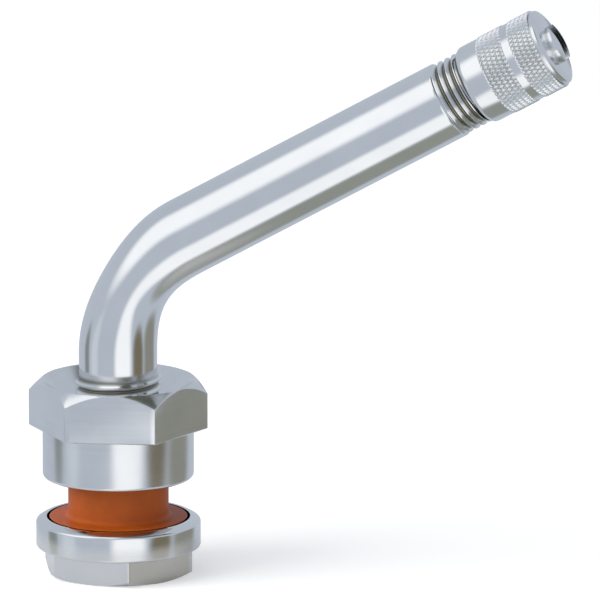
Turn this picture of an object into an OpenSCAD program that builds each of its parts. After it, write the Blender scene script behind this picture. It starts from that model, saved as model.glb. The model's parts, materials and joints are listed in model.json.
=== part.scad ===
// Bent clamp-in tyre valve of a commercial vehicle wheel. The foot and the bent stem are one
// piece, a grommet and a skirted nut grip the rim, and a knurled cap covers the valve core.
// The origin is the middle of the face that seals on the rim. +Z runs along the base of the
// stem, and the tip leans over towards +X.

/* [Rim joint] */
// Wall of the grommet's neck, which fills the hole in the rim
neck_wall = 0.7; // [0.5:0.05:1]
// Thickness of the sealing flange
seal_flange_t = 1.6; // [1.2:0.1:2.4]
// How far the sealing flange stands proud of its cup
seal_proud = 0.2; // [0.1:0.05:0.8]
// Rounding of the sealing flange's outer edges
seal_round = 0.3; // [0.1:0.05:0.5]
// Room between the sealing flange and the nut, where the rim wall goes
rim_gap = 4.1; // [3:0.1:6]
// Length of neck that reaches up inside the nut
neck_in_nut = 2.6; // [1.5:0.1:3.5]

/* [Foot] */
// Diameter of the round flange, which the foot, the grommet and the nut follow
flange_d = 16.7; // [15.5:0.05:20]
// How far the foot's corners stay inside the flange's flat underside
foot_inset = 0.04; // [0.02:0.02:1.2]
// Height of the foot's hexagon
foot_h = 2.7; // [2:0.1:5]
// How far the foot's round underside stays inside its flats
foot_edge = 0.1; // [0.05:0.05:0.5]
// Slope of the chamfer under the foot, in degrees
foot_chamfer = 30; // [15:1:40]
// Turn of the foot's corners about the base axis, in degrees
foot_turn = 50; // [0:1:59]
// Height of the flange's straight edge
flange_h = 2.5; // [1.5:0.1:4]
// Height of the bevel from the flange's edge to the cup's rim
flange_bevel = 0.4; // [0.3:0.05:0.8]
// Rounding of the flange's upper edge
flange_round = 0.25; // [0.05:0.05:0.3]
// Chamfer under the flange
flange_break = 0.2; // [0.1:0.05:0.6]
// Wall of the flange round the cup
cup_wall = 1.15; // [0.9:0.025:1.5]
// Width of the cup's flat rim
cup_land = 0.4; // [0.1:0.05:0.6]

/* [Stem] */
// Outer diameter of the bent tube, which both threads follow
tube_d = 7.94; // [7.5:0.02:9]
// Diameter of the air passage, which the valve core follows
bore_d = 4; // [3.6:0.1:4.2]
// How far the crests of the base thread stand proud of the tube
base_thread_rise = 0.38; // [0.2:0.02:0.6]
// Height of the base thread's top above the sealing face
base_thread_h = 14.4; // [12:0.1:16]
// Angle of the bend, in degrees
bend_angle = 60.5; // [20:0.5:80]
// Radius of the bend's centre line
bend_r = 14.2; // [12:0.1:16]
// How far the bend's inner and outer sides are flattened
bend_flat = 0.4; // [0:0.02:0.5]
// How far the bend's two flanks are spread
bend_spread = 0.15; // [0:0.01:0.3]
// How much the air passage is narrowed round the bend
bend_pinch = 0.1; // [0.06:0.02:0.4]
// Height of the corner of the two centre lines above the sealing face
corner_h = 25.25; // [23.75:0.05:40]
// Length of the tube from that corner to its shoulder
straight_l = 39.5; // [34:0.1:60]
// Chamfer at the tube's shoulder
shoulder_break = 0.3; // [0.1:0.05:0.4]
// How far the crests of the tip thread lie below the tube's surface
tip_thread_step = 0.12; // [0:0.02:0.3]
// Depth of the relief groove between shoulder and thread
relief_depth = 0.45; // [0.3:0.05:0.6]
// Width of the relief groove
relief_w = 0.6; // [0.3:0.1:1]
// Length of the tip that shows between shoulder and cap
tip_show = 2.95; // [1.5:0.05:5]
// Length of the tip that the cap covers
tip_grip = 7.1; // [6:0.05:9]
// Chamfer at the mouth of the tip
mouth_break = 0.5; // [0.2:0.05:0.7]
// Countersink inside the mouth
mouth_sink = 0.2; // [0.1:0.05:0.25]

/* [Nut] */
// How far the nut's corners reach out past the flange
nut_reach = 0.78; // [0.2:0.02:2]
// Height of the hexagon
hex_h = 4.95; // [4:0.05:8]
// Turn of the nut's corners about the base axis, in degrees
nut_turn = 7; // [0:1:59]
// How far the nut's round top stays inside its flats
crown_edge = 0.06; // [0.02:0.02:0.5]
// Width of the flat land between the nut's chamfer and its funnel
funnel_land = 0.1; // [0.05:0.05:0.5]
// How far the nut's skirt stays inside its flats
skirt_inset = 0.24; // [0.1:0.02:0.5]
// Height of the skirt
skirt_h = 5.05; // [4:0.05:8]
// Rounding of the skirt's lower edge
skirt_round = 0.4; // [0.1:0.05:0.8]

/* [Cap] */
// Wall of the cap's knurled bands
cap_wall = 0.33; // [0.3:0.01:1]
// Length of the smooth collar at the open end
collar_l = 2.5; // [1.5:0.1:4]
// Length of the knurled band next to the collar
knurl_near_l = 2.6; // [1.5:0.1:4]
// Length of the smooth band between the knurled bands
band_l = 1; // [0.5:0.1:2]
// How far the knurled bands stand proud of the smooth ones
knurl_rise = 0.08; // [0.02:0.02:0.1]
// Chamfer at the cap's open end
collar_break = 0.2; // [0.1:0.05:0.25]
// Length of that chamfer
collar_lead = 0.45; // [0.2:0.05:0.8]
// Width and depth of the fine groove at the end of the knurl
cap_groove = 0.14; // [0.06:0.02:0.2]
// Thickness of the cap's end
cap_end_t = 1; // [0.9:0.05:2]
// Length of the bevel at the cap's end
cap_bevel_l = 0.25; // [0.2:0.05:1]
// Width of that bevel
cap_bevel_w = 0.2; // [0.1:0.01:0.8]
// Diameter of the slotted nub on the cap's end
nub_d = 4.2; // [3.6:0.1:5]
// Height of the nub
nub_h = 1.2; // [0.5:0.05:1.5]
// Height of the dome on the nub
nub_dome = 0.35; // [0.1:0.05:0.4]
// How much wider the nub's slot is than the bridge on the core's plug, which it turns
slot_room = 0.2; // [0.1:0.05:0.4]
// Thickness of the washer in the cap
cap_seal_t = 0.8; // [0.5:0.05:1.2]
// Hole of that washer
cap_seal_hole = 3.8; // [2:0.1:5]

/* [Valve core] */
// How far the core's thread stands out past the wide end of its seat
core_thread_step = 0.26; // [0.2:0.02:0.34]
// Length of the core's thread
core_thread_l = 3.6; // [3:0.1:4.5]
// Width of the key's bridge on the plug
bridge_w = 1.7; // [1.2:0.1:1.9]
// Height of the bridge
bridge_h = 1.4; // [1:0.1:2]
// Air hole under the bridge
plug_hole_d = 2.8; // [2.4:0.1:3]
// Height of the barrel's head, which swivels in the plug
barrel_head_h = 1.1; // [0.8:0.1:1.3]
// How far the barrel's neck lies below its head
barrel_neck_step = 0.35; // [0.25:0.05:0.45]
// Thickness of the plug's lip round that neck
plug_lip = 0.4; // [0.3:0.05:0.6]
// Room for air between the barrel and the passage
barrel_room = 0.25; // [0.15:0.05:0.35]
// Length of the barrel below its seal
barrel_l = 3.8; // [3:0.1:5]
// Thickness of the barrel's floor under the spring
barrel_floor = 2.5; // [2:0.1:2.8]
// Hollow of the barrel round the spring
spring_room_d = 2; // [1.9:0.05:2.1]
// Air hole at the barrel's lower end
barrel_hole_d = 1.5; // [1.3:0.05:1.6]
// Diameter of the sharp lip at the barrel's lower end
barrel_lip_d = 2.6; // [2.2:0.1:2.8]
// Height and width of that lip
barrel_lip = 0.2; // [0.1:0.05:0.3]
// Length of the tapered seal on the barrel
barrel_seal_l = 1.6; // [1.2:0.1:2.2]
// How far the tapered seat widens on its way to the thread
seat_flare = 0.3; // [0.2:0.05:0.4]
// Diameter of the pin
pin_d = 0.9; // [0.8:0.05:1]
// Diameter of the pin's head
pin_head_d = 1.5; // [1.3:0.05:1.6]
// Height of the pin's head
pin_head_h = 0.5; // [0.3:0.05:0.8]
// Depth of the pin's head below the mouth
pin_sink = 0.3; // [0.1:0.05:0.6]
// Travel of the pin
pin_stroke = 1.1; // [0.8:0.1:1.4]
// Diameter of the pin's spring collar
spring_collar_d = 1.8; // [1.7:0.05:1.85]
// Height of the pin's spring collar
spring_collar_h = 0.3; // [0.2:0.05:0.4]
// Thickness of the spring's wire
wire_d = 0.25; // [0.15:0.01:0.28]
// Number of turns in the spring
spring_turns = 7; // [4:1:9]
// Thickness of the washer that shuts the barrel
cup_seal_t = 0.6; // [0.4:0.05:1]
// Room for air between the cup that holds the washer and the passage
core_cup_room = 0.4; // [0.3:0.05:0.45]
// Wall and floor of that cup
core_cup_wall = 0.15; // [0.1:0.01:0.18]
// Height of the cup's wall inside
cup_rim_h = 0.3; // [0.1:0.05:0.35]
// Diameter of the riveted end of the pin
rivet_d = 1.6; // [1.2:0.1:2]
// Height of the riveted end of the pin
rivet_h = 0.3; // [0.2:0.05:0.5]

/* [Clearances] */
// Between the base thread and what slides over it
thread_clear = 0.05; // [0.02:0.01:0.08]
// Between the sealing flange and its cup
cup_clear = 0.1; // [0.05:0.05:0.2]
// Between the neck and the nut, round it and above it
neck_clear = 0.2; // [0.1:0.05:0.3]
// Between the tip thread and the cap
cap_clear = 0.05; // [0.02:0.01:0.08]
// Between the washer in the cap and its neighbours
seal_clear = 0.03; // [0.01:0.01:0.05]
// Between the core's pieces
core_clear = 0.04; // [0.02:0.01:0.05]
// Between the pin's head and the bridge when the pin is pressed in
pin_stop = 0.15; // [0.1:0.05:0.3]

/* [Hidden] */
$fn = 96;
// overlap that joins or cuts solids cleanly
lap = 0.5;
// sides and rings of the bent stretch, and how far it sits inside the straight runs
bend_sides = 48;
bend_rings = 20;
bend_sink = 0.004;
// steps per turn and sides of the spring's wire
coil_steps = 18;
wire_sides = 6;

// heights along the base axis
cup_floor_z = -seal_flange_t;
cup_rim_z = -seal_proud;
flange_edge_z = cup_rim_z - flange_bevel;
flange_z = flange_edge_z - flange_h;
foot_z = flange_z - foot_h;
nut_z = rim_gap;
hex_z = nut_z + skirt_h;
nut_top_z = hex_z + hex_h;
neck_top_z = rim_gap + neck_in_nut;

// radii about the base axis
tube_r = tube_d / 2;
bore_r = bore_d / 2;
base_r = tube_r + base_thread_rise;
neck_r = base_r + thread_clear + neck_wall;
flange_r = flange_d / 2;
foot_af = 2 * (flange_r - flange_break - foot_inset) * cos(30);
foot_face_r = foot_af / 2 - foot_edge;
cup_r = flange_r - cup_wall;
nut_corner_r = flange_r + nut_reach;
nut_flat_r = nut_corner_r * cos(30);
skirt_r = nut_flat_r - skirt_inset;
nut_bore_r = base_r + thread_clear;
crown_r = nut_flat_r - crown_edge;
funnel_r = crown_r - funnel_land;

// ends of the bend, as a height and as a length along the tip axis
bend_leg = bend_r * tan(bend_angle / 2);
bend_z = corner_h - bend_leg;

// lengths along the tip axis, from the corner of the centre lines
thread_u = straight_l + relief_w;
cap_u = straight_l + tip_show;
mouth_u = cap_u + tip_grip;
cap_seal_u = mouth_u + seal_clear;
cap_floor_u = cap_seal_u + cap_seal_t + seal_clear;
knurl_near_u = cap_u + collar_l;
knurl_far_u = knurl_near_u + knurl_near_l + band_l;
cap_end_u = cap_floor_u + cap_end_t;
cap_edge_u = cap_end_u - cap_bevel_l - cap_groove;
nub_u = cap_end_u + nub_h;

// radii about the tip axis
tip_thread_r = tube_r - tip_thread_step;
relief_r = tip_thread_r - relief_depth;
cap_bore_r = tip_thread_r + cap_clear;
knurl_r = cap_bore_r + cap_wall;
cap_r = knurl_r - knurl_rise;
seat_r = bore_r + seat_flare;
core_thread_r = seat_r + core_thread_step;
chamber_r = core_thread_r + core_clear;
barrel_r = bore_r - barrel_room;
barrel_neck_r = barrel_r - barrel_neck_step;
core_cup_r = bore_r - core_cup_room;
spring_r = spring_room_d / 2 - core_clear - wire_d / 2;
pin_r = pin_d / 2;

// the core's lengths along the tip axis, from the mouth inwards
pin_top_u = mouth_u - pin_sink;
bridge_u = pin_top_u - pin_head_h - pin_stroke - pin_stop;
plug_u = bridge_u - bridge_h;
plug_end_u = plug_u - core_thread_l;
head_end_u = plug_end_u + plug_lip + core_clear;
head_u = head_end_u + barrel_head_h;
seal_u = plug_end_u - core_clear - chamber_r + seat_r;
seal_end_u = seal_u - barrel_seal_l;
barrel_end_u = seal_end_u - barrel_l;
ledge_u = barrel_end_u + barrel_floor;
lip_u = barrel_end_u - barrel_lip;
spring_top_u = head_end_u + core_clear;
cup_seal_u = lip_u - core_clear;
core_cup_u = cup_seal_u - cup_seal_t;
rivet_u = core_cup_u - core_cup_wall - core_clear;

metal = "silver";
brass = "goldenrod";
orange = "chocolate";
rubber = "dimgray";

// Puts what is drawn along +Z on the tip's axis, measured from the corner of the centre lines
module on_tip() {
    translate([0, 0, corner_h]) rotate([0, bend_angle, 0]) children();
}

// A turned piece: the outline's points are [radius, height]
module turned(outline) {
    rotate_extrude() polygon(outline);
}

// A straight round hole or rod between two heights
module rod(r, from, to) {
    translate([0, 0, from]) cylinder(r = r, h = to - from);
}

// A hexagon prism between two heights
module hexagon(af, from, to) {
    translate([0, 0, from]) cylinder(d = af / cos(30), h = to - from, $fn = 6);
}

// The half section of a ring with its outer edges rounded
module ring_section(inner, outer, from, to, edge) {
    translate([inner, from]) square([outer - edge - inner, to - from]);
    translate([inner, from + edge]) square([outer - inner, to - from - 2 * edge]);
    for (z = [from + edge, to - edge]) translate([outer - edge, z]) circle(r = edge);
}

// Share of the bend's full flattening at a place from 0 to 1 along it
function bend_share(s) = pow(sin(180 * s), 2);

// One ring of the bent stretch: its place along the bend and how far it runs straight past it
function bend_ring(s, past) = let (
    turn = bend_angle * s,
    middle = [
        bend_r * (1 - cos(turn)) + past * sin(turn), 0,
        bend_z + bend_r * sin(turn) + past * cos(turn)
    ],
    inward = [cos(turn), 0, -sin(turn)],
    deep = tube_r - bend_sink - bend_flat * bend_share(s),
    wide = tube_r - bend_sink + bend_spread * bend_share(s)
) [for (i = [0 : bend_sides - 1])
    let (a = 360 * i / bend_sides)
    middle + deep * cos(a) * inward + [0, wide * sin(a), 0]];

// A closed solid through rings of points, all with the same even number of points
module skin(rings) {
    sides = len(rings[0]);
    last = len(rings) - 1;
    count = sides * (last + 1);
    walls = [for (k = [0 : last - 1], i = [0 : sides - 1])
        let (j = (i + 1) % sides)
        each [
            [k * sides + i, (k + 1) * sides + i, (k + 1) * sides + j],
            [k * sides + i, (k + 1) * sides + j, k * sides + j]
        ]];
    ends = [for (i = [0 : sides - 1])
        let (j = (i + 1) % sides)
        each [[count, i, j], [count + 1, last * sides + j, last * sides + i]]];
    middles = [for (ring = [rings[0], rings[last]]) (ring[0] + ring[sides / 2]) / 2];
    polyhedron(
        points = concat([for (ring = rings) each ring], middles),
        faces = concat(walls, ends),
        convexity = 8
    );
}

// The bent stretch of the tube, flattened by bending, which laps into both straight runs
module bent_tube() {
    rings = [
        bend_ring(0, -lap),
        for (k = [0 : bend_rings]) bend_ring(k / bend_rings, 0),
        bend_ring(1, lap)
    ];
    skin(rings);
}

// Foot, flange with its cup, base thread and the straight run up to the bend
module base() {
    intersection() {
        rotate([0, 0, foot_turn]) hexagon(foot_af, foot_z, flange_z + lap);
        turned([
            [0, foot_z],
            [foot_face_r, foot_z],
            [flange_r, foot_z + (flange_r - foot_face_r) * tan(foot_chamfer)],
            [flange_r, flange_z + 2 * lap],
            [0, flange_z + 2 * lap]
        ]);
    }
    rotate_extrude() {
        polygon([
            [0, flange_z],
            [flange_r - flange_break, flange_z],
            [flange_r, flange_z + flange_break],
            [flange_r, flange_edge_z],
            [flange_r - flange_round, flange_edge_z + flange_round],
            [cup_r + cup_land, cup_rim_z],
            [cup_r, cup_rim_z],
            [cup_r, cup_floor_z],
            [base_r, cup_floor_z],
            [base_r, base_thread_h - base_thread_rise],
            [tube_r, base_thread_h],
            [tube_r, bend_z],
            [0, bend_z]
        ]);
        translate([flange_r - flange_round, flange_edge_z]) circle(r = flange_round);
    }
}

// Straight run from the bend to the shoulder, relief groove and tip thread
module tip() {
    on_tip() turned([
        [0, bend_leg],
        [tube_r, bend_leg],
        [tube_r, straight_l - shoulder_break],
        [tube_r - shoulder_break, straight_l],
        [relief_r, straight_l],
        [relief_r, thread_u],
        [tip_thread_r, thread_u + relief_depth],
        [tip_thread_r, mouth_u - mouth_break],
        [tip_thread_r - mouth_break, mouth_u],
        [0, mouth_u]
    ]);
}

// The air passage, from the foot round the bend to the core chamber and its mouth
module passage() {
    rod(bore_r, foot_z - lap, bend_z + lap);
    translate([bend_r, 0, bend_z])
        rotate([90, 0, 180])
        rotate_extrude(angle = bend_angle)
        translate([bend_r, 0])
        circle(r = bore_r - bend_pinch / 2);
    on_tip() turned([
        [0, bend_leg - lap],
        [bore_r, bend_leg - lap],
        [bore_r, seal_end_u],
        [seat_r, seal_u],
        [chamber_r, plug_end_u - core_clear],
        [chamber_r, mouth_u - mouth_sink],
        [chamber_r + mouth_sink, mouth_u],
        [chamber_r + mouth_sink, mouth_u + lap],
        [0, mouth_u + lap]
    ]);
}

module stem() {
    color(metal) difference() {
        union() {
            base();
            bent_tube();
            tip();
        }
        passage();
    }
}

module rim_grommet() {
    hole_r = base_r + thread_clear;
    color(orange) rotate_extrude() {
        ring_section(hole_r, cup_r - cup_clear, cup_floor_z, 0, seal_round);
        translate([hole_r, cup_floor_z]) square([neck_wall, neck_top_z - cup_floor_z]);
    }
}

module clamp_nut() {
    neck_room_r = neck_r + neck_clear;
    neck_room_z = neck_top_z + neck_clear;
    color(metal) difference() {
        union() {
            intersection() {
                rotate([0, 0, nut_turn]) hexagon(2 * nut_flat_r, hex_z, nut_top_z);
                turned([
                    [0, hex_z - lap],
                    [nut_corner_r + lap, hex_z - lap],
                    [nut_corner_r + lap, nut_top_z - nut_corner_r - lap + crown_r],
                    [crown_r, nut_top_z],
                    [crown_r, nut_top_z + lap],
                    [0, nut_top_z + lap]
                ]);
            }
            rotate_extrude() intersection() {
                ring_section(0, skirt_r, nut_z, hex_z + lap + skirt_round, skirt_round);
                square([2 * skirt_r, hex_z + lap]);
            }
        }
        turned([
            [0, nut_z - lap],
            [neck_room_r, nut_z - lap],
            [neck_room_r, neck_room_z],
            [nut_bore_r, neck_room_z],
            [nut_bore_r, nut_top_z - funnel_r + nut_bore_r],
            [funnel_r, nut_top_z],
            [funnel_r, nut_top_z + lap],
            [0, nut_top_z + lap]
        ]);
    }
}

module valve_cap() {
    nub_r = nub_d / 2;
    slot_w = bridge_w + slot_room;
    dome_r = (nub_r * nub_r + nub_dome * nub_dome) / (2 * nub_dome);
    color(metal) on_tip() difference() {
        union() {
            turned([
                [0, cap_u],
                [cap_r - collar_break, cap_u],
                [cap_r, cap_u + collar_lead],
                [cap_r, knurl_near_u],
                [knurl_r, knurl_near_u],
                [knurl_r, knurl_near_u + knurl_near_l],
                [cap_r, knurl_near_u + knurl_near_l],
                [cap_r, knurl_far_u],
                [knurl_r, knurl_far_u],
                [knurl_r, cap_edge_u],
                [cap_r - cap_groove, cap_edge_u],
                [cap_r - cap_groove, cap_edge_u + cap_groove],
                [cap_r - cap_groove - cap_bevel_w, cap_end_u],
                [0, cap_end_u]
            ]);
            rotate_extrude() intersection() {
                translate([0, cap_end_u - cap_bevel_l]) square([nub_r, nub_h + cap_bevel_l]);
                translate([0, nub_u - dome_r]) circle(r = dome_r);
            }
        }
        rod(cap_bore_r, cap_u - lap, cap_floor_u);
        translate([-nub_d, -slot_w / 2, cap_end_u]) cube([2 * nub_d, slot_w, nub_h + lap]);
    }
}

module cap_seal() {
    color(rubber) on_tip() difference() {
        rod(cap_bore_r - seal_clear, cap_seal_u, cap_seal_u + cap_seal_t);
        rod(cap_seal_hole / 2, cap_seal_u - lap, cap_seal_u + cap_seal_t + lap);
    }
}

module core_plug() {
    pin_hole_r = pin_head_d / 2 - core_clear;
    color(brass) on_tip() {
        turned([
            [barrel_neck_r + core_clear, plug_end_u],
            [core_thread_r, plug_end_u],
            [core_thread_r, plug_u],
            [plug_hole_d / 2, plug_u],
            [plug_hole_d / 2, head_u + core_clear],
            [barrel_r + core_clear, head_u + core_clear],
            [barrel_r + core_clear, plug_end_u + plug_lip],
            [barrel_neck_r + core_clear, plug_end_u + plug_lip]
        ]);
        difference() {
            intersection() {
                rod(core_thread_r, plug_u - lap, bridge_u);
                translate([-core_thread_r - lap, -bridge_w / 2, plug_u - 2 * lap])
                    cube([2 * core_thread_r + 2 * lap, bridge_w, bridge_h + 3 * lap]);
            }
            rod(pin_hole_r, plug_u - 2 * lap, bridge_u + lap);
        }
    }
}

module core_barrel() {
    color(brass) on_tip() turned([
        [barrel_hole_d / 2, lip_u],
        [barrel_lip_d / 2, lip_u],
        [barrel_lip_d / 2 + barrel_lip, barrel_end_u],
        [barrel_r, barrel_end_u],
        [barrel_r, seal_end_u],
        [barrel_neck_r, seal_end_u],
        [barrel_neck_r, head_end_u],
        [barrel_r, head_end_u],
        [barrel_r, head_u],
        [spring_room_d / 2, head_u],
        [spring_room_d / 2, ledge_u],
        [barrel_hole_d / 2, ledge_u]
    ]);
}

module barrel_seal() {
    hole_r = barrel_neck_r + core_clear;
    color(rubber) on_tip() turned([
        [hole_r, seal_end_u + core_clear],
        [bore_r - core_clear, seal_end_u + core_clear],
        [seat_r - core_clear, seal_u],
        [hole_r, seal_u]
    ]);
}

module core_pin() {
    color(brass) on_tip() turned([
        [0, rivet_u - rivet_h],
        [rivet_d / 2, rivet_u - rivet_h],
        [rivet_d / 2, rivet_u],
        [pin_r, rivet_u],
        [pin_r, spring_top_u],
        [spring_collar_d / 2, spring_top_u],
        [spring_collar_d / 2, spring_top_u + spring_collar_h],
        [pin_r, spring_top_u + spring_collar_h],
        [pin_r, pin_top_u - pin_head_h],
        [pin_head_d / 2, pin_top_u - pin_head_h],
        [pin_head_d / 2, pin_top_u],
        [0, pin_top_u]
    ]);
}

// Coil spring between the ledge in the barrel and the pin's collar
module core_spring() {
    low = ledge_u + wire_d / 2 + core_clear;
    high = spring_top_u - wire_d / 2 - core_clear;
    steps = spring_turns * coil_steps;
    rings = [for (k = [0 : steps])
        let (turn = 360 * k / coil_steps, z = low + (high - low) * k / steps)
        [for (i = [0 : wire_sides - 1])
            let (a = 360 * i / wire_sides, r = spring_r + wire_d / 2 * cos(a))
            [r * cos(turn), r * sin(turn), z + wire_d / 2 * sin(a)]]];
    color(metal) on_tip() skin(rings);
}

module core_cup() {
    inner_r = core_cup_r - core_cup_wall;
    color(brass) on_tip() turned([
        [pin_r + core_clear, core_cup_u - core_cup_wall],
        [core_cup_r, core_cup_u - core_cup_wall],
        [core_cup_r, core_cup_u + cup_rim_h],
        [inner_r, core_cup_u + cup_rim_h],
        [inner_r, core_cup_u],
        [pin_r + core_clear, core_cup_u]
    ]);
}

module cup_seal() {
    outer_r = core_cup_r - core_cup_wall - core_clear;
    color(rubber) on_tip() difference() {
        rod(outer_r, core_cup_u, cup_seal_u);
        rod(pin_r + core_clear, core_cup_u - lap, cup_seal_u + lap);
    }
}

stem();
rim_grommet();
clamp_nut();
valve_cap();
cap_seal();
core_plug();
core_barrel();
barrel_seal();
core_pin();
core_spring();
core_cup();
cup_seal();
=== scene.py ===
"""Dresses the bent tyre valve: plated metal with cut threads and knurls, and a satin silicone grommet."""
import json
import math

import bmesh
import bpy
from mathutils import Matrix, Vector


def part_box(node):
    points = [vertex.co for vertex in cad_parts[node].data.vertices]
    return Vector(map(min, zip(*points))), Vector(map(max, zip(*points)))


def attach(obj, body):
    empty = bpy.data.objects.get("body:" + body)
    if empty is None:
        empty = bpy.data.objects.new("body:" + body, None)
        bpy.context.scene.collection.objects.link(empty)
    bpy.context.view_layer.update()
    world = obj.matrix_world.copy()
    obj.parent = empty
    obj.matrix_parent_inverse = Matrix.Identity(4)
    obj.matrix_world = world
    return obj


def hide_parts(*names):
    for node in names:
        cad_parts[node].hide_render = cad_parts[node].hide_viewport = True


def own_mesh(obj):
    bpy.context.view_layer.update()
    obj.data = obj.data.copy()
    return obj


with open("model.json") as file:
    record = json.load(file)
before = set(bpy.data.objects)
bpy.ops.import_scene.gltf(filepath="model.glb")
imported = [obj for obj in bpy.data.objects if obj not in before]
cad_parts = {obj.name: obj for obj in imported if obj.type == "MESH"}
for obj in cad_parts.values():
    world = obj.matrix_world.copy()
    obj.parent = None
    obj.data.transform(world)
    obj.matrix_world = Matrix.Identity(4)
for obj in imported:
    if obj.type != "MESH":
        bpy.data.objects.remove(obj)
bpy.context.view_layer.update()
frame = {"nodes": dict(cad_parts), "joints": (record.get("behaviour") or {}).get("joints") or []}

MM = 0.001

# Places that come from the frame, in millimetres
JOINTS = {joint["name"]: joint for joint in frame["joints"]}
CORNER = Vector(JOINTS["cap_turn"]["pos_m"]) / MM
TIP_AXIS = Vector(JOINTS["cap_turn"]["axis"])
BEND = math.atan2(TIP_AXIS.x, TIP_AXIS.z)
ON_TIP = Matrix.Translation(CORNER) @ Matrix.Rotation(BEND, 4, "Y")


def heights(node):
    """Lowest and highest place of a node along the base axis."""
    low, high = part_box(node)
    return low.z / MM, high.z / MM


def along_tip(node):
    """Lowest and highest place of a node along the tip axis, from the corner of the centre lines."""
    places = [(v.co / MM - CORNER).dot(TIP_AXIS) for v in frame["nodes"][node].data.vertices]
    return min(places), max(places)


FOOT_LOW = heights("stem")[0]
SEAL_LOW, NECK_TOP = heights("rim_grommet")
NUT_LOW, NUT_TOP = heights("clamp_nut")
CAP_OPEN, NUB_TOP = along_tip("valve_cap")
WASHER_LOW, WASHER_TOP = along_tip("cap_seal")
SPRING_LOW, SPRING_TOP = along_tip("core_spring")
PIN_STROKE = JOINTS["pin_press"]["range_m"][1] / MM
FLANGE_R = -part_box("stem")[0].x / MM

# Sizes of the stem
TUBE_R = 3.97
BORE_R = 2.0
BASE_CREST_R = 4.35
BASE_ROOT_R = 3.95
BASE_THREAD_TOP = 14.9
BASE_PITCH = 1.0
FOOT_FLAT_R = 7.023
FOOT_TURN = math.radians(50)
FOOT_CHAMFER = math.tan(math.radians(30))
FLANGE_LOW = -3.1
FLANGE_EDGE = -0.6
FLANGE_LOW_ROUND = 0.25
FLANGE_TOP_ROUND = 0.3
FLANGE_SLOPE = 62
CUP_RIM = -0.08
CUP_RIM_ROUND = 0.12
CUP_R = 7.2
CUP_LAND = 0.4
CUP_ROUND = 0.08
BEND_R = 14.2
BEND_FLAT = 0.4
BEND_SPREAD = 0.15
SHOULDER = 39.5
SHOULDER_ROUND = 0.3
RELIEF_R = 3.38
TIP_CREST_R = 3.85
TIP_ROOT_R = 3.4
TIP_PITCH = 0.794
TIP_THREAD_START = 38.6
MOUTH = WASHER_LOW - 0.03
CHAMBER_R = 2.6
CHAMBER_DEPTH = 7.1
CHAMBER_TAPER_DEPTH = 9
HEXAGON_ROUND = 0.09

# Sizes of the core's spring
SPRING_R = 0.835
WIRE_R = 0.125
SPRING_TURNS = 7

# Sizes of the grommet
SEAL_R = 7.1
SEAL_ROUND = 0.3
NECK_R = 5.1
NECK_FILLET = 0.5
NECK_ROUND = 0.15
GROMMET_BORE_R = 4.4

# Sizes of the nut
NUT_FLAT_R = 7.907
NUT_TURN = math.radians(7)
SKIRT_R = 7.667
SKIRT_TOP = 9.15
SKIRT_ROUND = 0.4
NUT_EDGE = 0.12
CROWN_BREAK = 0.05
FUNNEL_LAND = 0.16
NUT_BORE_R = 4.4
NECK_ROOM = 0.2

# Sizes of the cap
CAP_R = 4.15
KNURL_R = 4.23
KNURL_DEPTH = 0.18
KNURL_RUN_IN = 0.12
KNURL_RUN_OUT = 0.08
KNURL_BLEND = 0.02
KNURL_LINES = 56
KNURL_LEAN = math.tan(math.radians(24))
KNURL_BANDS = ((CAP_OPEN + 2.5, CAP_OPEN + 5.1), (CAP_OPEN + 6.1, CAP_OPEN + 8.35))
CAP_BORE_R = 3.9
COLLAR_BREAK = 0.2
COLLAR_LEAD = 0.45
GROOVE_DEPTH = 0.24
CAP_END = 51.41
CAP_END_R = 3.81
NUB_R = 2.1
NUB_DOME = 0.35
SLOT_W = 1.9

# How finely the shapes are divided
TURN_STEPS = 120
KNURL_STEPS = KNURL_LINES * 10
KNURL_ROWS = 36
THREAD_STEPS = 72
BEND_STEPS = 40
DOME_STEPS = 8
NUB_STEPS = 96
WIRE_STEPS = 10
COIL_STEPS = 36

# One turn of a thread: how far each point stands from root to crest, and its share of the pitch
THREAD_FORM = ((0, 0), (0, 0.08), (1, 0.45), (1, 0.58), (0, 0.95), (0, 1))
THREAD_FADE = 0.3
THREAD_TUCK = 0.9


# Bmesh helpers: all shapes are worked in millimetres and brought to metres at the end

def ring(bm, place, radius, height=0.0, steps=TURN_STEPS, turn=0.0):
    """A closed ring of edges. radius and height are numbers, or functions of the angle."""
    made = bmesh.ops.create_circle(bm, segments=steps, radius=1.0)["verts"]
    for v in made:
        angle = math.atan2(v.co.y, v.co.x)
        r = radius(angle) if callable(radius) else radius
        h = height(angle) if callable(height) else height
        v.co = place @ Vector((r * math.cos(angle + turn), r * math.sin(angle + turn), h))
    return list({e for v in made for e in v.link_edges})


def skin(bm, loops, closed=False):
    """Faces from each ring of edges to the next, and from the last to the first on a closed section."""
    pairs = list(zip(loops, loops[1:])) + ([(loops[-1], loops[0])] if closed else [])
    for a, b in pairs:
        bmesh.ops.bridge_loops(bm, edges=a + b)


def spun(outline, steps=TURN_STEPS, closed=False):
    """A turned shape; the outline's points are (radius, height)."""
    bm = bmesh.new()
    verts = [bm.verts.new((r, 0, h)) for r, h in outline]
    ends = verts[1:] + verts[:1] if closed else verts[1:]
    edges = [bm.edges.new(pair) for pair in zip(verts, ends)]
    bmesh.ops.spin(bm, geom=verts + edges, cent=(0, 0, 0), axis=(0, 0, 1), angle=math.tau, steps=steps,
                   use_merge=True)
    bmesh.ops.remove_doubles(bm, verts=bm.verts, dist=1e-5)
    return bm


def rounded(corner, radius, start, end, steps=5):
    """Outline points round a corner: an arc of that radius from the way of start to the way of end."""
    points = []
    for k in range(steps + 1):
        a = math.radians(start + (end - start) * k / steps)
        points.append((corner[0] + radius * math.cos(a), corner[1] + radius * math.sin(a)))
    return points


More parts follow.
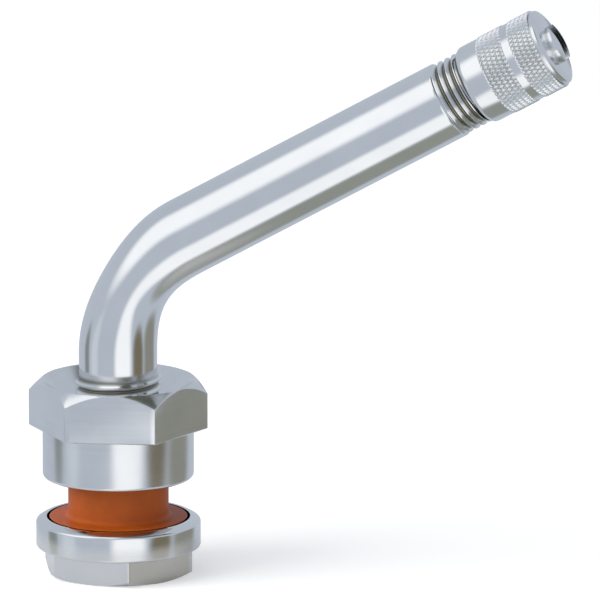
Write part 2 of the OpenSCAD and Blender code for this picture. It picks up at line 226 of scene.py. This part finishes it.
def smooth_step(x):
    """0 up to x = 0 and 1 from x = 1, with a soft rise between."""
    x = min(max(x, 0.0), 1.0)
    return x * x * (3 - 2 * x)


def thread(root, crest, start, end, pitch):
    """A cut thread: one turn's outline is spun up a helix, and its ridge fades out at both ends."""
    bm = bmesh.new()
    verts = [bm.verts.new((crest if raised else root, 0, start + share * pitch))
             for raised, share in THREAD_FORM]
    edges = [bm.edges.new(pair) for pair in zip(verts, verts[1:])]
    turns = (end - start) / pitch - 1
    steps = round(turns * THREAD_STEPS)
    bmesh.ops.spin(bm, geom=verts + edges, cent=(0, 0, 0), axis=(0, 0, 1), steps=steps,
                   angle=math.tau * steps / THREAD_STEPS, dvec=(0, 0, pitch / THREAD_STEPS))
    bmesh.ops.remove_doubles(bm, verts=bm.verts, dist=1e-4)
    for v in bm.verts:
        r = math.hypot(v.co.x, v.co.y)
        share = smooth_step((v.co.z - start) / THREAD_FADE) * smooth_step((end - v.co.z) / THREAD_FADE)
        scale = (root + (r - root) * share) / r
        v.co.x *= scale
        v.co.y *= scale
    rim = [e for e in bm.edges if e.is_boundary]
    inner = bmesh.ops.extrude_edge_only(bm, edges=rim)["geom"]
    for v in inner:
        if isinstance(v, bmesh.types.BMVert):
            v.co.x *= THREAD_TUCK
            v.co.y *= THREAD_TUCK
    return bm


def piece(name, parts, finish, body, nodes, sharp=35, place=Matrix.Identity(4)):
    """Joins shapes into one object in metres, shades it, and lets it stand for its CAD nodes."""
    bm = bmesh.new()
    for part in parts:
        bmesh.ops.recalc_face_normals(part, faces=part.faces)
        scratch = bpy.data.meshes.new("scratch")
        part.to_mesh(scratch)
        part.free()
        bm.from_mesh(scratch)
        bpy.data.meshes.remove(scratch)
    bmesh.ops.transform(bm, matrix=Matrix.Scale(MM, 4) @ place, verts=bm.verts)
    for f in bm.faces:
        f.smooth = True
    for e in bm.edges:
        e.smooth = len(e.link_faces) == 2 and e.calc_face_angle(0) < math.radians(sharp)
    mesh = bpy.data.meshes.new(name)
    bm.to_mesh(mesh)
    bm.free()
    mesh.materials.append(finish.material)
    obj = bpy.data.objects.new(name, mesh)
    bpy.context.scene.collection.objects.link(obj)
    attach(obj, body)
    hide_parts(*nodes)
    return obj


def hexagon(flat_r):
    """The radius of a hexagon's outline at an angle, with its corners at multiples of 60 degrees."""
    def radius(angle):
        return flat_r / math.cos(angle % (math.pi / 3) - math.pi / 6)
    return radius


def soften_corners(bm, low, high, reach):
    """Rounds the upright corner edges of a hexagon between two heights."""
    corners = [
        e for e in bm.edges
        if len(e.link_faces) == 2 and e.calc_face_angle(0) > math.radians(45)
        and all(low - 0.01 < v.co.z < high + 0.01 and math.hypot(v.co.x, v.co.y) > reach for v in e.verts)
        and math.hypot(e.verts[0].co.x - e.verts[1].co.x, e.verts[0].co.y - e.verts[1].co.y) < 0.01
    ]
    bmesh.ops.bevel(bm, geom=corners, offset=HEXAGON_ROUND, offset_type="OFFSET", segments=3, profile=0.5,
                    affect="EDGES", material=-1)


# Shader helpers

class Wire:
    """A shader socket that takes part in sums: each operator adds a Math node."""

    def __init__(self, finish, socket):
        self.finish = finish
        self.socket = socket

    def math(self, operation, *values):
        sockets = dict(enumerate(values))
        return self.finish.node("ShaderNodeMath", {"operation": operation}, sockets)

    def __add__(self, other):
        return self.math("ADD", self, other)

    def __radd__(self, other):
        return self.math("ADD", other, self)

    def __sub__(self, other):
        return self.math("SUBTRACT", self, other)

    def __rsub__(self, other):
        return self.math("SUBTRACT", other, self)

    def __mul__(self, other):
        return self.math("MULTIPLY", self, other)

    def __rmul__(self, other):
        return self.math("MULTIPLY", other, self)


class Nodes:
    """A node tree that nodes are added to, one call each."""

    def __init__(self, tree):
        self.tree = tree

    def node(self, kind, settings=None, sockets=None, out=0):
        """Adds a node: its settings first, then the values or links of its sockets."""
        made = self.tree.nodes.new(kind)
        for key, value in (settings or {}).items():
            if key == "stops":
                ramp = made.color_ramp.elements
                while len(ramp) < len(value):
                    ramp.new(0.5)
                for stop, (place, colour) in zip(ramp, value):
                    stop.position = place
                    stop.color = colour
            else:
                setattr(made, key, value)
        for key, value in (sockets or {}).items():
            if isinstance(value, Wire):
                self.tree.links.new(value.socket, made.inputs[key])
            else:
                made.inputs[key].default_value = value
        return Wire(self, made.outputs[out])

    def ramp(self, wire, *stops):
        return self.node("ShaderNodeValToRGB", {"stops": stops}, {"Fac": wire})

    def mix(self, share, first, second):
        """A colour between two others."""
        return self.node("ShaderNodeMix", {"data_type": "RGBA"}, {0: share, 6: first, 7: second}, out=2)

    def vector(self, operation, *values, out=0):
        return self.node("ShaderNodeVectorMath", {"operation": operation}, dict(enumerate(values)), out)

    def rise(self, wire, none_at, full_at):
        """0 to 1 while the wire goes from one value to the other."""
        return self.node("ShaderNodeMapRange", {"interpolation_type": "SMOOTHSTEP"}, {
            "Value": wire, "From Min": none_at, "From Max": full_at})


class Finish(Nodes):
    """A material with one Principled shader, whose varying sockets are fed by wires."""

    def __init__(self, name, **fixed):
        self.material = bpy.data.materials.new(name)
        self.material.use_nodes = True
        super().__init__(self.material.node_tree)
        self.shader = self.tree.nodes["Principled BSDF"]
        for key, value in fixed.items():
            self.shader.inputs[key.replace("_", " ")].default_value = value

    def feed(self, **wires):
        for key, wire in wires.items():
            self.tree.links.new(wire.socket, self.shader.inputs[key.replace("_", " ")])

    def coordinates(self):
        return self.node("ShaderNodeTexCoord", out=3)

    def noise(self, scale, detail=4.0, stretch=None):
        vector = self.coordinates()
        if stretch:
            vector = self.node("ShaderNodeMapping", None, {"Vector": vector, "Scale": stretch})
        return self.node("ShaderNodeTexNoise", None, {"Vector": vector, "Scale": scale, "Detail": detail})

    def fade(self, wire, none_at, full_at):
        """0 to 1 while a length goes from one value to the other, in millimetres."""
        return self.rise(wire, none_at * MM, full_at * MM)

    def about(self, origin, axis):
        """How far along an axis a point lies, and how far from it."""
        place = self.vector("SUBTRACT", self.coordinates(), origin)
        along = self.vector("DOT_PRODUCT", place, axis, out=1)
        radius = self.vector("LENGTH", self.vector("CROSS_PRODUCT", place, axis), out=1)
        return along, radius

    def paint_shade(self, share, colour):
        """Paints shade into the finish where the share is above 0: a darker colour, and more roughness."""
        unshaded = Wire(self, self.shader.inputs["Base Color"].links[0].from_socket)
        dull = Wire(self, self.shader.inputs["Roughness"].links[0].from_socket)
        self.feed(Base_Color=self.mix(share, unshaded, colour), Roughness=dull + 0.3 * share)

    def bump(self, height, strength, distance):
        return self.node("ShaderNodeBump", None, {
            "Height": height, "Strength": strength, "Distance": distance})


def grey(value):
    return (value, value, value, 1)


def plated(name, roughness, streak, grain):
    """Bright nickel plate: faint clouding in its colour and gloss, fine lines and a slight waviness."""
    finish = Finish(name, Metallic=1.0)
    cloud = finish.noise(220.0)
    lines = finish.noise(900.0, 2.0, streak)
    waves = finish.noise(330.0, 1.0)
    mottle = cloud + 0.8 * grain * (lines - 0.5)
    low = 0.775 - 0.08 * grain
    dim, bright = (low, low + 0.01, low + 0.015, 1), (0.815, 0.82, 0.825, 1)
    finish.feed(
        Base_Color=finish.ramp(mottle, (0.3, dim), (0.7, bright)),
        Roughness=roughness + 0.05 * cloud + 0.05 * lines,
        Normal=finish.bump(grain * lines + waves, 0.08, 0.0001),
    )
    return finish


def paint_cap_shade(finish):
    """Darkens the plate in the knurl's grooves and in the slot of the nub: painted shade."""
    along, radius = finish.about(CORNER * MM, TIP_AXIS)
    grooves = finish.fade(radius, CAP_R - 0.015, KNURL_R - KNURL_DEPTH + 0.01)
    grooves = grooves * finish.fade(along, KNURL_BANDS[0][0] - 0.2, KNURL_BANDS[0][0] - 0.1)
    grooves = grooves * finish.fade(along, KNURL_BANDS[1][1] + 0.07, KNURL_BANDS[1][1])
    # Painted shade in the knurl's grooves.
    finish.paint_shade(grooves, (0.68, 0.68, 0.63, 1))
    # Painted shade: the slot between the nub's halves is made nearly black.
    across = finish.node("ShaderNodeSeparateXYZ", None, {0: finish.coordinates()}, out=1)
    inside = across.math("COMPARE", across, 0.0, (SLOT_W / 2 + 0.03) * MM)
    inside = inside * along.math("GREATER_THAN", along, (CAP_END + 0.02) * MM)
    inside = inside * finish.fade(along, NUB_TOP - 0.28, NUB_TOP - 0.42)
    finish.paint_shade(inside * finish.fade(radius, NUB_R - 0.2, NUB_R - 0.95), grey(0.05))


def paint_root_shade(finish):
    """Darkens the roots of both threads of the stem: painted shade."""
    along, radius = finish.about(CORNER * MM, TIP_AXIS)
    # Painted shade in the roots of the tip's thread, from the shoulder on.
    tip = finish.fade(radius, TIP_CREST_R - 0.2, TIP_ROOT_R + 0.02)
    finish.paint_shade(tip * finish.fade(along, SHOULDER - 0.2, SHOULDER), (0.28, 0.27, 0.22, 1))
    height, radius = finish.about((0, 0, 0), (0, 0, 1))
    # Painted shade in the roots of the base's thread, up to its top.
    base = finish.fade(radius, BASE_CREST_R - 0.1, BASE_ROOT_R + 0.04)
    base = base * finish.fade(height, BASE_THREAD_TOP, BASE_THREAD_TOP - 0.5)
    finish.paint_shade(base * finish.fade(radius, TUBE_R - 0.1, TUBE_R - 0.05), (0.3, 0.29, 0.25, 1))


def silicone():
    """Orange silicone with a satin skin, a fine grain and a little dust."""
    finish = Finish("orange_silicone", Specular_IOR_Level=0.25)
    cloud = finish.noise(420.0)
    grain = finish.noise(5200.0, 3.0)
    finish.feed(
        Base_Color=finish.ramp(cloud, (0.3, (0.43, 0.085, 0.007, 1)), (0.7, (0.5, 0.1, 0.01, 1))),
        Roughness=0.4 + 0.14 * cloud,
        Normal=finish.bump(grain, 0.12, 0.00003),
    )
    return finish


def rubber(name, dark, light):
    """Dull rubber of the washers and the barrel's ring."""
    finish = Finish(name, Specular_IOR_Level=0.4)
    cloud = finish.noise(700.0)
    finish.feed(
        Base_Color=finish.ramp(cloud, (0.35, dark), (0.65, light)),
        Roughness=0.55 + 0.2 * cloud,
        Normal=finish.bump(finish.noise(6000.0), 0.15, 0.00002),
    )
    return finish


def turned_metal(name, dark, light):
    """Bare turned metal: brass of the core, steel of its spring."""
    finish = Finish(name, Metallic=1.0)
    cloud = finish.noise(900.0)
    finish.feed(
        Base_Color=finish.ramp(cloud, (0.3, dark), (0.7, light)),
        Roughness=0.24 + 0.12 * cloud,
        Normal=finish.bump(finish.noise(4000.0, 2.0), 0.08, 0.00002),
    )
    return finish


STEM_PLATE = plated("plated_stem", 0.06, (1.0, 1.0, 0.15), 0.1)
NUT_PLATE = plated("plated_nut", 0.15, (0.1, 0.1, 4.0), 0.35)
CAP_PLATE = plated("plated_cap", 0.1, (1.0, 1.0, 1.0), 0.1)
# Painted shade in the cap's knurl grooves and slot, and in the stem's thread roots.
paint_cap_shade(CAP_PLATE)
paint_root_shade(STEM_PLATE)
SILICONE = silicone()
BLACK_RUBBER = rubber("black_rubber", grey(0.012), grey(0.03))
RED_SEAL = rubber("red_seal", (0.22, 0.012, 0.01, 1), (0.34, 0.025, 0.018, 1))
BRASS = turned_metal("core_brass", (0.55, 0.36, 0.13, 1), (0.7, 0.49, 0.2, 1))
SPRING_STEEL = turned_metal("spring_steel", grey(0.5), grey(0.62))


# The stem: foot, flange with its cup, base, bend, tip and the air passage in one skin

def stem_skin():
    bm = bmesh.new()
    base = Matrix.Identity(4)
    hexa = hexagon(FOOT_FLAT_R)

    def chamfered(angle):
        return FOOT_LOW + (hexa(angle) - FOOT_FLAT_R) * FOOT_CHAMFER

    def turned(outline):
        return [ring(bm, base, r, h, turn=FOOT_TURN) for r, h in outline]

    loops = turned([(BORE_R, BASE_THREAD_TOP), (BORE_R, FOOT_LOW + 0.15), (BORE_R + 0.15, FOOT_LOW),
                    (FOOT_FLAT_R - 0.1, FOOT_LOW)])
    loops.append(ring(bm, base, hexa, chamfered, turn=FOOT_TURN))
    loops.append(ring(bm, base, hexa, FLANGE_LOW, turn=FOOT_TURN))
    flange = [(FLANGE_R - 0.4, FLANGE_LOW)]
    flange += rounded((FLANGE_R - FLANGE_LOW_ROUND, FLANGE_LOW + FLANGE_LOW_ROUND), FLANGE_LOW_ROUND, -90, 0)
    flange += rounded((FLANGE_R - FLANGE_TOP_ROUND, FLANGE_EDGE - 0.05), FLANGE_TOP_ROUND, 0, FLANGE_SLOPE)
    flange += rounded((CUP_R + CUP_LAND, CUP_RIM - CUP_RIM_ROUND), CUP_RIM_ROUND, FLANGE_SLOPE, 90, 2)
    flange += rounded((CUP_R + CUP_ROUND, CUP_RIM - CUP_ROUND), CUP_ROUND, 90, 180, 3)
    flange += [(CUP_R, SEAL_LOW), (BASE_ROOT_R, SEAL_LOW), (BASE_ROOT_R, BASE_THREAD_TOP - 0.3),
               (TUBE_R, BASE_THREAD_TOP)]
    loops += turned(flange)
    bend_low = CORNER.z - BEND_R * math.tan(BEND / 2)
    outer, inner = [], []
    for k in range(BEND_STEPS + 1):
        s = k / BEND_STEPS
        share = math.sin(math.pi * s) ** 2
        place = (Matrix.Translation((BEND_R, 0, bend_low)) @ Matrix.Rotation(BEND * s, 4, "Y")
                 @ Matrix.Translation((-BEND_R, 0, 0)))
        squeeze = Matrix.Diagonal((1 - BEND_FLAT * share / TUBE_R, 1 + BEND_SPREAD * share / TUBE_R, 1, 1))
        outer.append(ring(bm, place @ squeeze, TUBE_R, turn=FOOT_TURN))
        inner.append(ring(bm, place, BORE_R, turn=FOOT_TURN))
    loops += outer
    tip = [(TUBE_R, SHOULDER - SHOULDER_ROUND)]
    tip += rounded((TUBE_R - SHOULDER_ROUND, SHOULDER - SHOULDER_ROUND), SHOULDER_ROUND, 0, 90)
    tip += [(RELIEF_R, SHOULDER), (RELIEF_R, MOUTH - 0.5), (TIP_CREST_R - 0.5, MOUTH),
            (CHAMBER_R + 0.2, MOUTH), (CHAMBER_R, MOUTH - 0.2), (CHAMBER_R, MOUTH - CHAMBER_DEPTH),
            (BORE_R, MOUTH - CHAMBER_TAPER_DEPTH)]
    loops += [ring(bm, ON_TIP, r, u, turn=FOOT_TURN) for r, u in tip]
    loops += inner[::-1]
    skin(bm, loops, closed=True)
    soften_corners(bm, FOOT_LOW, FLANGE_LOW, FOOT_FLAT_R)
    return bm


def base_thread():
    return thread(BASE_ROOT_R, BASE_CREST_R, SEAL_LOW + 0.4, BASE_THREAD_TOP, BASE_PITCH)


def tip_thread():
    bm = thread(TIP_ROOT_R, TIP_CREST_R, TIP_THREAD_START, MOUTH - 0.1, TIP_PITCH)
    bmesh.ops.transform(bm, matrix=ON_TIP, verts=bm.verts)
    return bm


piece("stem_plated", [stem_skin(), base_thread(), tip_thread()], STEM_PLATE, "stem", ["stem"])


# The grommet: a round-edged flange, a fillet and a neck

def grommet_skin():
    outline = [(GROMMET_BORE_R, SEAL_LOW)]
    outline += rounded((SEAL_R - SEAL_ROUND, SEAL_LOW + SEAL_ROUND), SEAL_ROUND, -90, 0)
    outline += rounded((SEAL_R - SEAL_ROUND, -SEAL_ROUND), SEAL_ROUND, 0, 90)
    outline += rounded((NECK_R + NECK_FILLET, NECK_FILLET), NECK_FILLET, 270, 180)
    outline += rounded((NECK_R - NECK_ROUND, NECK_TOP - NECK_ROUND), NECK_ROUND, 0, 90)
    outline += [(GROMMET_BORE_R, NECK_TOP)]
    return spun(outline, closed=True)


piece("grommet", [grommet_skin()], SILICONE, "stem", ["rim_grommet"])


# The nut: hexagon with a chamfered crown, funnel, and round skirt

def nut_skin():
    bm = bmesh.new()
    base = Matrix.Identity(4)
    hexa = hexagon(NUT_FLAT_R)

    def crown(below):
        return lambda angle: NUT_TOP - (hexa(angle) - NUT_FLAT_R) - below

    def turned(outline):
        return [ring(bm, base, r, h, turn=NUT_TURN) for r, h in outline]

    room_top = NECK_TOP + NECK_ROOM
    room_r = NECK_R + NECK_ROOM
    funnel_r = NUT_FLAT_R - FUNNEL_LAND
    loops = turned([(room_r, room_top), (room_r, NUT_LOW + 0.2), (room_r + 0.2, NUT_LOW)]
                   + rounded((SKIRT_R - SKIRT_ROUND, NUT_LOW + SKIRT_ROUND), SKIRT_ROUND, -90, 0)
                   + [(SKIRT_R, SKIRT_TOP)])
    loops += turned([(hexagon(NUT_FLAT_R - NUT_EDGE), SKIRT_TOP), (hexa, SKIRT_TOP + NUT_EDGE),
                     (hexa, crown(NUT_EDGE)), (hexagon(NUT_FLAT_R - CROWN_BREAK), crown(0.002)),
                     (NUT_FLAT_R - 0.1, NUT_TOP), (funnel_r, NUT_TOP), (funnel_r - 0.06, NUT_TOP - 0.03),
                     (NUT_BORE_R, NUT_TOP - funnel_r + NUT_BORE_R), (NUT_BORE_R, room_top)])
    skin(bm, loops, closed=True)
    soften_corners(bm, SKIRT_TOP, NUT_TOP, NUT_FLAT_R)
    return bm


piece("nut_plated", [nut_skin()], NUT_PLATE, "nut", ["clamp_nut"])


# The cap: two knurled bands, a groove, a bevelled end and a slotted nub

def knurl_height(angle, along):
    """From 0 in a groove to 1 on a diamond's flat top."""
    def groove(way):
        turn = KNURL_LINES * (angle + way * along * KNURL_LEAN / KNURL_R) / math.tau
        return abs(turn % 1.0 - 0.5) * 2
    return min(1.0, 1.5 * min(groove(1), groove(-1)))


def cap_skin():
    outline = [(CAP_BORE_R, CAP_OPEN), (CAP_R - COLLAR_BREAK, CAP_OPEN),
               (CAP_R - COLLAR_BREAK / 4, CAP_OPEN + COLLAR_LEAD / 2), (CAP_R, CAP_OPEN + COLLAR_LEAD)]
    for low, high in KNURL_BANDS:
        start, end = low - KNURL_RUN_IN, high + KNURL_RUN_OUT
        outline += [(CAP_R, start - KNURL_BLEND), (CAP_R, start)]
        outline += [(KNURL_R, low + (high - low) * k / KNURL_ROWS) for k in range(KNURL_ROWS + 1)]
        outline += [(CAP_R, end), (CAP_R, end + KNURL_BLEND)]
    groove = KNURL_BANDS[1][1] + KNURL_RUN_OUT + 2 * KNURL_BLEND
    outline += [(CAP_R - GROOVE_DEPTH, groove), (CAP_R - GROOVE_DEPTH, groove + 0.08),
                (CAP_R - GROOVE_DEPTH / 2, groove + 0.1)]
    outline += [(CAP_R - 0.15, CAP_END - 0.14), (CAP_END_R + 0.06, CAP_END - 0.05),
                (CAP_END_R - 0.06, CAP_END), (0, CAP_END)]
    outline += [(0, WASHER_TOP + 0.03), (CAP_BORE_R, WASHER_TOP + 0.03), (CAP_BORE_R, CAP_OPEN)]
    bm = spun(outline, KNURL_STEPS)
    for v in bm.verts:
        r = math.hypot(v.co.x, v.co.y)
        if r > KNURL_R - 0.01:
            cut = KNURL_DEPTH * (1 - knurl_height(math.atan2(v.co.y, v.co.x), v.co.z))
            v.co.x *= 1 - cut / r
            v.co.y *= 1 - cut / r
    return bm


def nub_half(side):
    """One of the two halves that the slot leaves of the domed nub."""
    dome_r = (NUB_R ** 2 + NUB_DOME ** 2) / (2 * NUB_DOME)
    outline = [(0, CAP_END - 0.2), (NUB_R, CAP_END - 0.2)]
    for k in range(DOME_STEPS + 1):
        r = NUB_R * (1 - k / DOME_STEPS)
        outline.append((r, NUB_TOP - dome_r + math.sqrt(dome_r ** 2 - r ** 2)))
    bm = spun(outline, NUB_STEPS)
    cut = bmesh.ops.bisect_plane(bm, geom=bm.verts[:] + bm.edges[:] + bm.faces[:], dist=1e-5,
                                 plane_co=(0, side * SLOT_W / 2, 0), plane_no=(0, side, 0), clear_inner=True)
    bmesh.ops.holes_fill(bm, edges=[e for e in cut["geom_cut"] if isinstance(e, bmesh.types.BMEdge)])
    return bm


piece("cap_plated", [cap_skin(), nub_half(1), nub_half(-1)], CAP_PLATE, "cap", ["valve_cap"],
      place=ON_TIP)


# The core's spring: a coiled wire along the tip, from its lowest to its highest place

def spring_coil():
    bm = bmesh.new()
    section = bmesh.ops.create_circle(bm, segments=WIRE_STEPS, radius=WIRE_R)["verts"]
    bmesh.ops.transform(bm, verts=section, matrix=Matrix.Translation((SPRING_R, 0, SPRING_LOW + WIRE_R))
                        @ Matrix.Rotation(math.pi / 2, 4, "X"))
    steps = SPRING_TURNS * COIL_STEPS
    rise = (SPRING_TOP - SPRING_LOW - 2 * WIRE_R) / steps
    bmesh.ops.spin(bm, geom=bm.verts[:] + bm.edges[:], cent=(0, 0, 0), axis=(0, 0, 1),
                   angle=math.tau * SPRING_TURNS, steps=steps, dvec=(0, 0, rise))
    bmesh.ops.holes_fill(bm, edges=[e for e in bm.edges if e.is_boundary])
    return bm


coil = piece("spring_coil", [spring_coil()], SPRING_STEEL, "stem", ["core_spring"],
             place=ON_TIP)
tuple((CORNER + SPRING_LOW * TIP_AXIS) * MM)
1 - PIN_STROKE / (SPRING_TOP - SPRING_LOW)
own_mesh(coil)


# The core's other solids are right as they are and take a finish

for node, finish in {
    "cap_seal": BLACK_RUBBER, "cup_seal": BLACK_RUBBER, "barrel_seal": RED_SEAL, "core_plug": BRASS,
    "core_barrel": BRASS, "core_pin": BRASS, "core_cup": BRASS,
}.items():
    mesh = frame["nodes"][node].data
    mesh.materials.clear()
    mesh.materials.append(finish.material)


# Camera at the photo's viewing angle, in the photo's 600 x 600 frame

AZIMUTH = math.radians(12.4)
ELEVATION = math.radians(12.8)
DISTANCE = 1500.0
PIXELS_PER_MM = 9.92
FRAME_PIXELS = 600
AIM_PIXEL = (320.8, 313.0)
AIM = Vector((21.0, 0.0, 22.0))

back = Vector((math.sin(AZIMUTH) * math.cos(ELEVATION), -math.cos(AZIMUTH) * math.cos(ELEVATION),
               math.sin(ELEVATION)))
right = Vector((math.cos(AZIMUTH), math.sin(AZIMUTH), 0))
up = back.cross(right)
middle_pixel = FRAME_PIXELS / 2
centre = (AIM - right * (AIM_PIXEL[0] - middle_pixel) / PIXELS_PER_MM
          + up * (AIM_PIXEL[1] - middle_pixel) / PIXELS_PER_MM)
lens = bpy.data.cameras.new("camera")
lens.sensor_width = 36.0
lens.lens = lens.sensor_width * DISTANCE * PIXELS_PER_MM / FRAME_PIXELS
lens.clip_end = 20.0
camera = bpy.data.objects.new("camera", lens)
bpy.context.scene.collection.objects.link(camera)
camera.matrix_world = (Matrix.Translation((centre + back * DISTANCE) * MM)
                       @ Matrix((right, up, back)).transposed().to_4x4())
bpy.context.scene.camera = camera
bpy.context.scene.view_settings.view_transform = "Standard"


# Studio: a white floor that keeps the shadow, one soft lamp and a room of pale and dark panels

def way_in_room(across, rise, near):
    """A way seen from the camera: to the right, up, and back towards it."""
    return (right * across + up * rise + back * near).normalized()


# Which way each panel stands in the room, its half width and soft edge in degrees, and its colour
WALL = (0.53, 0.58, 0.66, 1)
PANELS = (
    ((-0.74, 0.47, 0.42), 25, 10, (1.14, 1.16, 1.19, 1)),
    ((0.25, -0.42, 0.87), 22, 7, (1.12, 1.14, 1.17, 1)),
    ((-0.03, -0.86, 0.5), 20, 7, (1.1, 1.12, 1.15, 1)),
    ((-0.15, 0.38, 0.91), 6, 4, (0.9, 0.93, 0.97, 1)),
    ((-0.93, -0.28, 0.22), 9, 6, (0.66, 0.72, 0.78, 1)),
    ((-0.95, -0.16, -0.28), 8, 5, (0.26, 0.29, 0.28, 1)),
    ((-0.27, 0.87, 0.41), 20, 5, (1.1, 1.12, 1.16, 1)),
    ((0.42, 0.86, 0.28), 25, 4, (0.09, 0.095, 0.075, 1)),
    ((0.95, -0.14, -0.35), 22, 8, (0.28, 0.285, 0.25, 1)),
    ((0.86, -0.33, 0.38), 15, 6, (0.2, 0.175, 0.12, 1)),
    ((0.22, -0.93, -0.25), 26, 7, (0.31, 0.33, 0.3, 1)),
)

# How far from the foot the metal still shows the floor, how softly that ends, and how strongly it shows
FLOOR_SHOWN = 22
FLOOR_FADE = 6
FLOOR_SHARE = 0.5
FLOOR_SIZE = 3.0

LAMP_SIZE = 0.35
LAMP_POWER = 1.3
LAMP_REACH = 0.5


def room_light():
    """White where the camera sees it. Metal shows a grey room with soft round panels, which light it."""
    surround = bpy.data.worlds.new("surround")
    bpy.context.scene.world = surround
    surround.use_nodes = True
    room = Nodes(surround.node_tree)
    way = room.node("ShaderNodeTexCoord")
    colour = WALL
    for place, half_width, soft, panel_colour in PANELS:
        facing = room.vector("DOT_PRODUCT", way, way_in_room(*place), out=1)
        share = room.rise(facing, math.cos(math.radians(half_width + soft)),
                          math.cos(math.radians(half_width - soft)))
        colour = room.mix(share, colour, panel_colour)
    shown = room.mix(room.node("ShaderNodeLightPath", out="Is Camera Ray"), colour, grey(1))
    room.tree.links.new(shown.socket, room.tree.nodes["Background"].inputs["Color"])


def soft_lamp():
    lamp = bpy.data.lights.new("soft_lamp", "AREA")
    lamp.size = LAMP_SIZE
    lamp.energy = LAMP_POWER
    obj = bpy.data.objects.new("soft_lamp", lamp)
    bpy.context.scene.collection.objects.link(obj)
    way = way_in_room(*PANELS[0][0])
    obj.location = centre * MM + LAMP_REACH * way
    obj.rotation_euler = way.to_track_quat("Z", "Y").to_euler()
    obj.visible_glossy = False


def white_floor():
    """White where the camera sees it, with the shadow. Metal shows it near the foot, and then the room."""
    finish = Finish("white_floor", Base_Color=(0.88, 0.855, 0.82, 1), Roughness=1.0, Specular_IOR_Level=0.0,
                    Emission_Strength=1.0)
    seen = finish.node("ShaderNodeLightPath", out="Is Camera Ray")
    finish.feed(Emission_Color=finish.ramp(seen, (0.0, grey(0)), (1.0, grey(0.38))))
    mirrored = finish.node("ShaderNodeLightPath", out="Is Glossy Ray")
    radius = finish.about((0, 0, 0), (0, 0, 1))[1]
    near = finish.fade(radius, FLOOR_SHOWN + FLOOR_FADE, FLOOR_SHOWN - FLOOR_FADE)
    clear = finish.node("ShaderNodeBsdfTransparent")
    shown = finish.node("ShaderNodeMixShader", None, {
        0: mirrored * (1 - FLOOR_SHARE * near), 1: Wire(finish, finish.shader.outputs[0]), 2: clear})
    finish.tree.links.new(shown.socket, finish.tree.nodes["Material Output"].inputs["Surface"])
    bm = bmesh.new()
    bmesh.ops.create_grid(bm, x_segments=1, y_segments=1, size=FLOOR_SIZE / 2,
                          matrix=Matrix.Translation((0, 0, FOOT_LOW * MM)))
    mesh = bpy.data.meshes.new("floor")
    bm.to_mesh(mesh)
    bm.free()
    mesh.materials.append(finish.material)
    floor = bpy.data.objects.new("floor", mesh)
    bpy.context.scene.collection.objects.link(floor)


room_light()
soft_lamp()
white_floor()
